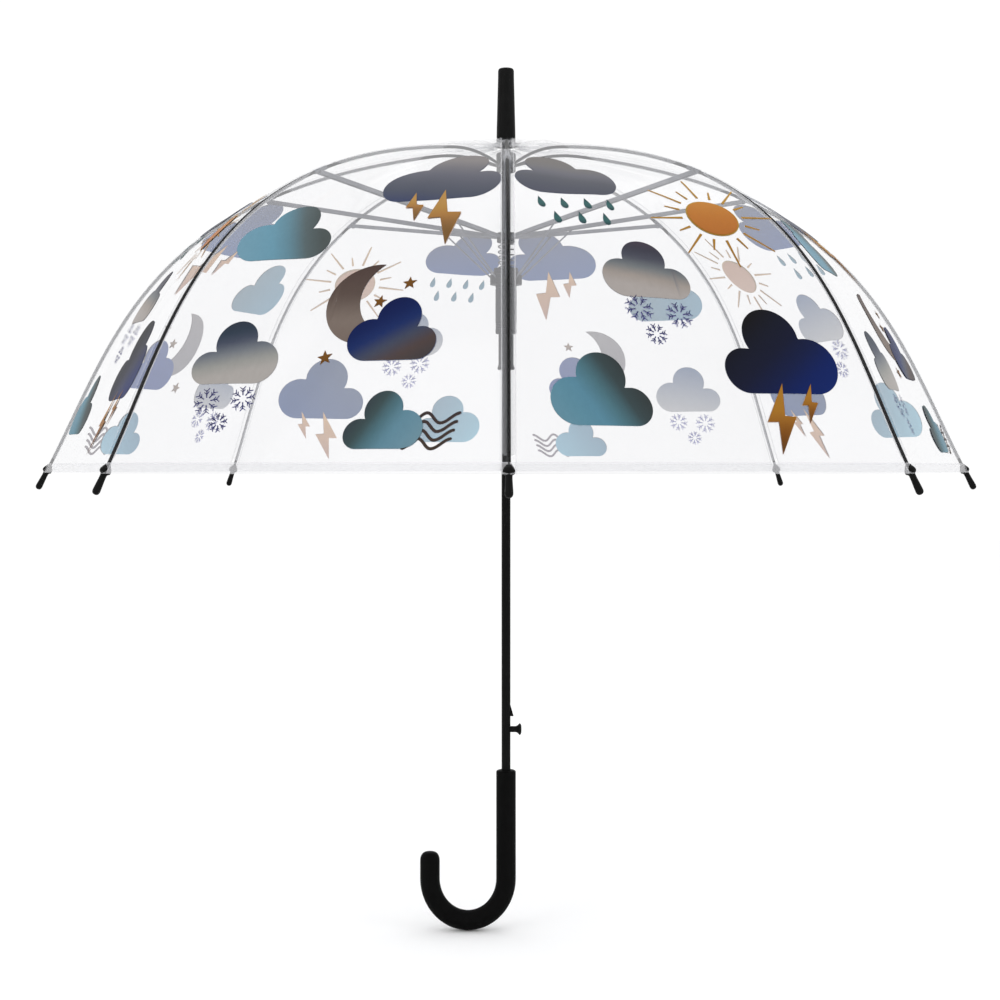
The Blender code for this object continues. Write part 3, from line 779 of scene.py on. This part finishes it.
SUN_GORE = [
    (cloud(0.0880, 1.08, 1), (-0.0575, 0.2871), DUSK_RIGHT, DUSK_RIGHT_WAY, 0),
    *[(drop(0.0145), (x, 0.308), DROP_INK, DOWN, 0) for x in (-0.091, -0.0713, -0.0515, -0.0317)],
    *[(drop(0.0145), (x, 0.327), DROP_INK, DOWN, 0) for x in (-0.0831, -0.0624, -0.0412)],
    (rays(0.0222, 16), (0.0585, 0.309), RAY_GOLD, DOWN, 0),
    ([circle(0, 0, 0.0228, 56)], (0.0585, 0.309), SUN_RING, DOWN, 0),
    ([circle(0, 0, 0.0216, 56)], (0.0585, 0.309), SUN, DOWN, 1),
    (cloud(0.0738, 1.04, -1), (-0.0249, 0.4004), MIST_RIGHT, (0.17, 0.98), 0),
    (snowflake(0.0125), (-0.0390, 0.411), NAVY_INK, DOWN, 1),
    (snowflake(0.0120), (-0.0050, 0.415), NAVY_INK, DOWN, 1),
    (snowflake(0.0095), (-0.0290, 0.433), NAVY_INK, DOWN, 0),
    (cloud(0.1011, 1.0, 1), (0.0735, 0.4816), MIDNIGHT, (-0.64, 0.77), 0),
    (bolt(0.060, 0.19), (0.064, 0.533), GOLD_UP, UP, 1),
    (bolt(0.034, 0.22), (0.0915, 0.507), GOLD_UP, UP, 1),
    (cloud(0.0811, 1.0, -1), (-0.0865, 0.5101), SEA, (0.87, 0.50), 0),
]
INK_DEPTH = 0.82


def shade_at(stops, share):
    positions = [p for p, _ in stops]
    inks = [linear(*c) for _, c in stops]
    return [INK_DEPTH * float(np.interp(share, positions, [ink[k] for ink in inks])) for k in range(3)]


def motif_triangles(outlines, place, spacing=0.0042):
    """Fill a motif's outlines with small triangles that never cross the gore's centre line."""
    across, run = place
    coords, faces = [], []
    for outline in outlines:
        faces.append(list(range(len(coords), len(coords) + len(outline))))
        coords += [Vector((across + x, run - y)) for x, y in outline]
    low = [min(c[k] for c in coords) for k in (0, 1)]
    high = [max(c[k] for c in coords) for k in (0, 1)]
    edges = []
    if low[0] < 0.0 < high[0]:
        edges.append((len(coords), len(coords) + 1))
        coords += [Vector((0.0, low[1] - 0.001)), Vector((0.0, high[1] + 0.001))]
    for i in range(int((high[0] - low[0]) / spacing)):
        for j in range(int((high[1] - low[1]) / spacing)):
            offset = 0.5 if j % 2 else 0.0
            x = low[0] + (i + 0.4 + offset) * spacing
            if abs(x) > 0.0008:
                coords.append(Vector((x, low[1] + (j + 0.5) * spacing)))
    points, _, triangles, *_ = geometry.delaunay_2d_cdt(coords, edges, faces, 1, 1e-7)
    return points, triangles, low, high


PRINTS = {}
for _name, _gore in (("storm", STORM_GORE), ("sun", SUN_GORE)):
    PRINTS[_name] = [(motif_triangles(m[0], m[1]), m[2], m[3], m[4]) for m in _gore]


def make_prints(gore):
    """The printed motifs of one gore, as one piece of ink on each side of its centre line."""
    azimuth = rib_azimuth(gore) + HALF
    kind = "sun" if gore % 2 else "storm"
    for side in (-1, 1):
        points, faces, shades = [], [], []
        for (flat, triangles, low, high), stops, way, level in PRINTS[kind]:
            kept = {}
            direction = Vector(way).normalized()
            corners = [Vector((x, -y)).dot(direction) for x in (low[0], high[0]) for y in (low[1], high[1])]
            for triangle in triangles:
                middle = sum(flat[i].x for i in triangle) / 3
                if middle * side <= 0:
                    continue
                for i in triangle:
                    if i in kept:
                        continue
                    kept[i] = len(points)
                    across, run = flat[i]
                    edge = half_width(run) - 0.0008
                    across = max(-edge, min(edge, across))
                    points.append(on_gore(azimuth, across, run, INK_LIFT * (1 + level)))
                    reach = Vector((across, -run)).dot(direction) - min(corners)
                    share = reach / (max(corners) - min(corners))
                    shades.append(shade_at(stops, share))
                    points.append(on_gore(azimuth, across, run, -INK_LIFT * (1 + level)))
                    inner = PALE[id(stops)]
                    shades.append(shade_at(((0.0, inner[0]), (1.0, inner[1])), share))
                a, b, c = (kept[i] for i in triangle)
                faces.append((a, b, c))
                faces.append((a + 1, c + 1, b + 1))
        word = "a" if side < 0 else "b"
        obj = new_piece(f"print_{gore}_{word}", points, faces, INK)
        colours = obj.data.color_attributes.new("ink", "FLOAT_COLOR", "POINT")
        for i, shade in enumerate(shades[: len(obj.data.vertices)]):
            colours.data[i].color = (*shade, 1.0)
        fold_with(obj)


# ------------ ribs, tips and linkage
def rib_line():
    """The rib's centre line from its pivot in the crown to just past the hem."""
    pivot = flat_pivot("canopy_fold")
    path = []
    for i in range(61):
        t = i / 60
        point = bezier(t)
        if point.x < RIB_FREE_TO:
            continue
        a, b = bezier(max(t - 0.002, 0.0)), bezier(min(t + 0.002, 1.0))
        along = (b - a).normalized()
        path.append(point - Vector((-along.y, along.x)) * RIB_DROP)
    joins = path[0]
    along = (path[1] - path[0]).normalized()
    reach = (joins - pivot).length
    handles = (pivot, pivot + Vector((0.94, 0.34)) * reach * 0.35, joins - along * reach * 0.4, joins)
    path = [bezier(i / 12, handles) for i in range(12)] + path
    along = (path[-1] - path[-2]).normalized()
    path.append(path[-1] + along * RIB_PAST_CURVE)
    return path


def along_line(path, x):
    """The height of a line at a radius."""
    return float(np.interp(x, [p.x for p in path], [p.y for p in path]))


def flat_pivot(name):
    point = pivots[name]
    return Vector((Vector(point[:2]).length, point.z))


def make_rib(k, path):
    azimuth = rib_azimuth(k)
    joint = flat_pivot(f"stretcher_{k}_joint")

    def section(t):
        radius = 0.00145
        if t < 0.02:
            return ring(radius * 0.95, 14, 0.6)
        return ring(radius, 14)

    rod = sweep("rod", path, section, RIB_BLACK, azimuth)
    eye = disc("eye", path[0], 0.0019, 0.00085, LINK_STEEL, azimuth)
    boss = disc("boss", joint, 0.0029, 0.0014, LINK_STEEL, azimuth)
    low, high = joint.x - 0.006, joint.x + 0.007
    clip_path = [Vector((x, along_line(path, x))) for x in np.linspace(low, high, 8)]
    clip = sweep("clip", clip_path, lambda t: ring(0.00185, 16), LINK_STEEL, azimuth)
    rib = join(f"rib_{k}_rod", [rod, eye, boss, clip])
    finish_piece(rib, f"rib_{k}", "rib_rod", f"rib_{k}")

    end = path[-1]
    along = (path[-1] - path[-2]).normalized()
    lean = math.atan2(along.x, along.y)
    profile = rounded(
        [
            (0.0, 0.0006), (0.0019, 0.0006), (0.0019, -0.0110), (0.0022, -0.0110), (0.0030, -0.0092),
            (0.0043, -0.0068), (0.0046, -0.0054), (0.0043, -0.0040), (0.0030, -0.0032), (0.00255, -0.0022),
            (0.00255, 0.0010), (0.0028, 0.0055), (0.0030, 0.0095), (0.0031, 0.0118), (0.0028, 0.0134),
            (0.0018, 0.0146), (0.0, 0.0150),
        ],
        0.0006, 3,
    )
    place = turned(azimuth) @ Matrix.Translation((end.x, 0.0, end.y)) @ Matrix.Rotation(lean, 4, "Y")
    tip = lathe(f"tip_{k}_cap", profile, BLACK_PLASTIC, 28, place)
    finish_piece(tip, f"rib_{k}", "black_plastic", f"tip_{k}")


def make_stretcher(k):
    """A pressed U-channel, open below, with a slot for the rib, a rivet, a pin and a flat tongue."""
    azimuth = rib_azimuth(k)
    joint = flat_pivot(f"stretcher_{k}_joint")
    runner = Vector((flat_pivot("canopy_fold").x, 2 * joint.y - flat_pivot("canopy_fold").y))
    pin_at = flat_pivot(f"strut_{k}_joint")
    along = (joint - runner).normalized()
    length = (joint - runner).length

    def at(distance):
        return runner + along * distance

    half, wall, top, low = 0.0028, 0.0008, 0.0016, -0.0021
    hood = [
        (-half, low), (-half, top - 0.0009), (-half + 0.0003, top - 0.0003), (-half + 0.0009, top),
        (half - 0.0009, top), (half - 0.0003, top - 0.0003), (half, top - 0.0009), (half, low),
        (half - wall, low), (half - wall, top - wall - 0.0004), (half - wall - 0.0004, top - wall),
        (-half + wall + 0.0004, top - wall), (-half + wall, top - wall - 0.0004), (-half + wall, low),
    ]
    start = 0.0155
    path = [at(start + (length + 0.0021 - start) * i / 14) for i in range(15)]

    def channel_section(t):
        squeeze = 0.62 if t < 0.01 else 1.0
        return [(x * squeeze, y) for x, y in hood]

    channel = sweep("channel", path, channel_section, LINK_STEEL)
    slot_half = 0.0019
    slot_section = [(-slot_half, -0.001), (-slot_half, 0.004), (slot_half, 0.004), (slot_half, -0.001)]
    slot_tool = sweep("slot", [at(length - 0.013), at(length + 0.006)], lambda t: slot_section, LINK_STEEL)
    cut(channel, [slot_tool])
    channel.data.transform(turned(azimuth))
    flat = 0.00085
    tongue_section = [(-flat, -0.0016), (flat, -0.0016), (flat, 0.0015), (-flat, 0.0015)]
    tongue = sweep("tongue", [at(0.0), at(0.010), at(0.019)], lambda t: tongue_section, LINK_STEEL, azimuth)
    eye = disc("eye", runner, 0.0019, flat, LINK_STEEL, azimuth)
    rivet = disc("rivet", joint, 0.0014, 0.0033, LINK_STEEL, azimuth, 20, 0.0005)
    pin = disc("pin", pin_at, 0.0009, 0.0031, LINK_STEEL, azimuth, 16, 0.0003)
    obj = join(f"stretcher_{k}_channel", [channel, tongue, eye, rivet, pin])
    finish_piece(obj, f"stretcher_{k}", "bright_steel", f"stretcher_{k}")


def make_strut(k):
    azimuth = rib_azimuth(k)
    head = flat_pivot(f"strut_{k}_joint")
    ball_radius = 0.00115
    foot = Vector((STRUT_FOOT_RADIUS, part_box(f"strut_{k}")[0][2] + ball_radius))
    path = [head.lerp(foot, t) for t in (0.012, 0.3, 0.6, 1.0)]
    wire = sweep("wire", path, lambda t: ring(0.00078, 12), LINK_STEEL, azimuth)
    loop = disc("loop", head, 0.0018, 0.00075, LINK_STEEL, azimuth)
    ball = disc("ball", foot, ball_radius, 0.00085, LINK_STEEL, azimuth, 16)
    obj = join(f"strut_{k}_wire", [wire, loop, ball])
    finish_piece(obj, f"strut_{k}", "bright_steel", f"strut_{k}")


# ------------ shaft, runners, handle
def make_shaft():
    outer = shaft_high[0] - 0.00002
    inner = outer - 0.0008
    bottom, top = shaft_low[2], shaft_high[2]
    profile = [(inner, bottom), (outer, bottom), (outer, top), (inner, top)]
    obj = lathe("shaft_tube", profile, BLACK_PAINT, 48)
    wall = 0.005
    button = disc("button_tool", (wall, BUTTON_HEIGHT), 0.00325, 0.004, BLACK_PAINT, 0.0, 28)
    from_wall = Matrix.Translation((-wall, 0.0, 0.0))
    to_side = Matrix.Translation((wall, 0.0, 0.0)) @ turned(math.radians(90)) @ from_wall
    button.data.transform(to_side)
    half, low, high = 0.0014, 0.1032, 0.1157
    corners = ((-half, low), (half, low), (half, high), (-half, high))
    points = [(x, y, z) for x in (0.001, 0.009) for y, z in corners]
    window = outward(new_piece("tooth_tool", points, tube_faces(2, 4), BLACK_PAINT, False))
    cut(obj, [button, window])
    finish_piece(obj, "frame", "shaft_paint", "shaft")


def make_ferrule():
    base, top = ferrule_low[2], ferrule_high[2]
    wide = ferrule_high[0]
    narrow = wide * 0.84
    profile = [
        (0.0047, base), (wide - 0.0003, base), (wide, base + 0.0012), (wide * 0.985, base + 0.012),
        (narrow * 1.01, top - 0.010), (narrow, top - 0.0022), (narrow - 0.0007, top - 0.0005),
        (narrow - 0.0024, top), (0.0, top), (0.0, top - 0.055), (0.0047, top - 0.055),
    ]
    obj = lathe("ferrule_cap", rounded(profile, 0.0009), BLACK_PLASTIC, 64)
    finish_piece(obj, "frame", "black_plastic", "ferrule")
    low, high = washer_low[2], washer_high[2]
    reach = washer_high[0]
    disc_profile = [
        (0.0047, low), (reach - 0.0006, low), (reach, low + 0.0006), (reach, low + 0.0018),
        (reach - 0.0016, high - 0.0004), (reach - 0.003, high), (0.0047, high),
    ]
    plate = lathe("canopy_washer_plate", rounded(disc_profile, 0.0003, 3), BLACK_PLASTIC, 56)
    finish_piece(plate, "frame", "black_plastic", "canopy_washer")


def make_runner():
    top, low = grip_high[2], grip_low[2]
    wide = grip_high[0]
    bevel, groove_from, groove_step = 0.0007, 0.0045, 0.0016
    sleeve = [(TUBE_BORE, low), (wide - bevel, low), (wide, low + bevel)]
    for i in range(4):
        z = low + groove_from + groove_step * i
        sleeve += [(wide, z), (wide - 0.0004, z + 0.0004), (wide - 0.0004, z + 0.0008), (wide, z + 0.0012)]
    well, floor = 0.0086, top - 0.0208
    sleeve += [(wide, top - 0.0008), (wide - 0.0005, top), (well, top), (well, floor), (TUBE_BORE, floor)]
    obj = lathe("runner_grip_sleeve", rounded(sleeve, 0.0002, 2), BLACK_PLASTIC, 56)
    finish_piece(obj, "lower_runner", "black_plastic", "runner_grip")
    top, low = tube_high[2], tube_low[2]
    flare = tube_high[0]
    tube = [
        (TUBE_BORE, low), (flare - 0.0003, low), (flare, low + 0.0008), (flare, low + 0.0022),
        (0.0072, low + 0.0046), (0.0072, top), (TUBE_BORE, top),
    ]
    obj = lathe("runner_tube_sleeve", rounded(tube, 0.0007, 3), BLACK_PLASTIC, 56)
    finish_piece(obj, "lower_runner", "black_plastic", "runner_tube")


def make_spring():
    """The opening coil, wound at an even pitch and carried by the upper runner."""
    low, high = spring_low[2] + 0.00075, spring_high[2] - 0.00075
    turns, per_turn, wire = 12, 30, 0.00072
    radius = 0.0073
    points, count = [], turns * per_turn
    for i in range(count + 1):
        t = i / count
        angle = 2 * math.pi * turns * t
        height = low + (high - low) * t
        centre = Vector((radius * math.cos(angle), radius * math.sin(angle), height))
        out = Vector((math.cos(angle), math.sin(angle), 0.0))
        for x, y in ring(wire, 10):
            points.append(centre + out * x + Vector((0, 0, y)))
    obj = outward(new_piece("opening_coil", points, tube_faces(count + 1, 10), SPRING_STEEL))
    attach(obj, "upper_runner")
    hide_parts("opening_spring")
    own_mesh(obj)


def make_handle():
    radius = handle_high[0]
    top = handle_high[2]
    reach = -(handle_low[0] + radius) / 2
    drop_to = -handle_low[2] - radius
    hook_from = -top
    down = drop_to + hook_from
    end = -0.035
    path = [Vector((0.0, top)), Vector((0.0, top - 0.0005)), Vector((0.0, top - 0.0013))]
    sizes = [radius - 0.0013, radius - 0.0004, radius]
    for i in range(1, 13):
        path.append(Vector((0.0, top + (hook_from - top) * i / 12)))
        sizes.append(radius)
    for i in range(1, 49):
        angle = math.pi * i / 48
        path.append(Vector((-reach * (1 - math.cos(angle)), hook_from - down * math.sin(angle))))
        sizes.append(radius)
    path.append(Vector((-2 * reach, end)))
    sizes.append(radius)
    cap = 0.0087
    for i in range(1, 9):
        a = math.pi / 2 * i / 8.4
        path.append(Vector((-2 * reach, end + cap * math.sin(a))))
        sizes.append(radius * math.cos(a) ** 0.55)
    last = len(path) - 1
    obj = sweep("handle_hook", path, lambda t: ring(sizes[round(t * last)], 48), SOFT_BLACK)
    bore = lathe("bore_tool", [(0.0, 0.009), (0.0047, 0.009), (0.0047, 0.06), (0.0, 0.06)], SOFT_BLACK, 40)
    cut(obj, [bore])
    finish_piece(obj, "frame", "handle_soft", "handle")


def make_catch():
    """The push button on its neck, the sloped tooth that holds the runner, and the slide between them."""
    out = catch_high[0]
    neck, head = 0.0029, 0.0057
    profile = [
        (0.0, 0.0016), (neck, 0.0016), (neck, 0.0096), (neck + 0.0007, 0.0110), (head - 0.0006, 0.0124),
        (head, 0.0131), (head - 0.0006, 0.0140), (head * 0.62, out - 0.0001), (0.0, out),
    ]
    lay = Matrix.Translation((0.0, 0.0, BUTTON_HEIGHT)) @ Matrix.Rotation(math.radians(90.0), 4, "Y")
    button = lathe("button", rounded(profile, 0.0006, 3), BLACK_PLASTIC, 40, lay)
    foot, peak = 0.1037, 0.1152
    outline = [
        (0.0015, foot), (0.0070, foot), (0.0072, 0.1040), (0.0069, 0.1051), (0.0042, 0.1146), (0.0038, peak),
        (0.0015, peak),
    ]
    points = [(x, y, z) for y in (-0.001, 0.001) for x, z in outline]
    tooth = outward(new_piece("tooth", points, tube_faces(2, len(outline)), BLACK_PLASTIC))
    low, high = catch_low[2], catch_high[2]
    corners = ((0.0003, -0.0015), (0.0019, -0.0015), (0.0019, 0.0015), (0.0003, 0.0015))
    points = [(x, y, z) for z in (low, high) for x, y in corners]
    slide = outward(new_piece("slide", points, tube_faces(2, 4), LINK_STEEL, False))
    obj = join("catch_button", [button, tooth, slide])
    finish_piece(obj, "catch", "black_plastic", "catch")


def recoat(node, material):
    """Give a CAD node that stays in view its own finish."""
    obj = bpy.data.objects[node]
    for place in obj.material_slots:
        place.link = "OBJECT"
        place.material = material


# ------------ stage, light and camera
def make_stage():
    floor_z = handle_low[2] - 0.0005
    points = [(-6.0, -4.0, floor_z), (6.0, -4.0, floor_z), (6.0, 9.0, floor_z), (-6.0, 9.0, floor_z)]
    material, tree, shader = new_material("pale_floor")
    stops = ((0.3, (0.975, 0.975, 0.975, 1.0)), (0.7, (0.985, 0.985, 0.985, 1.0)))
    shade = ramp(tree, noise(tree, 3.0), stops)
    tree.links.new(shade, shader.inputs["Base Color"])
    shader.inputs["Roughness"].default_value = 0.9
    floor = new_piece("studio_floor", points, [(0, 1, 2, 3)], material, False)

    world = bpy.data.worlds.new("studio")
    bpy.context.scene.world = world
    bpy.context.scene.view_settings.view_transform = "Standard"
    world.use_nodes = True
    world.node_tree.nodes["Background"].inputs["Color"].default_value = (1.0, 1.0, 1.0, 1.0)
    world.node_tree.nodes["Background"].inputs["Strength"].default_value = 1.05
    lamps = (
        ("key", (-1.5, -1.6, 1.9), 1.1, 7.0),
        ("fill", (1.9, -1.0, 1.2), 1.0, 4.0),
        ("top", (0.1, 0.4, 2.2), 1.4, 6.0),
    )
    for name, place, size, power in lamps:
        data = bpy.data.lights.new(name, "AREA")
        data.size = size
        data.energy = power
        lamp = bpy.data.objects.new(name, data)
        lamp.location = place
        aim = Vector((0.0, 0.0, 0.45)) - Vector(place)
        lamp.rotation_euler = aim.to_track_quat("-Z", "Y").to_euler()
        bpy.context.collection.objects.link(lamp)


def make_camera():
    """A level camera at the hem's height, a little over one and a half metres from the shaft."""
    data = bpy.data.cameras.new("camera")
    data.sensor_width = 36.0
    data.lens = 60.1
    data.shift_x = 0.0017
    data.shift_y = -0.033
    camera = bpy.data.objects.new("camera", data)
    camera.location = (-0.0074, -1.602, 0.3427)
    camera.rotation_euler = (math.radians(90.0), 0.0, 0.0)
    bpy.context.collection.objects.link(camera)
    bpy.context.scene.camera = camera


# ------------ everything together
make_camera()
make_stage()
path_of_rib = rib_line()
for number in range(1, RIBS + 1):
    make_rib(number, path_of_rib)
    make_stretcher(number)
    make_strut(number)
    make_gore(number)
    make_prints(number)
make_shaft()
make_ferrule()
make_runner()
make_spring()
make_handle()
make_catch()
for kept in ("crown_notch", "upper_runner", "lower_runner"):
    recoat(kept, BLACK_PLASTIC)
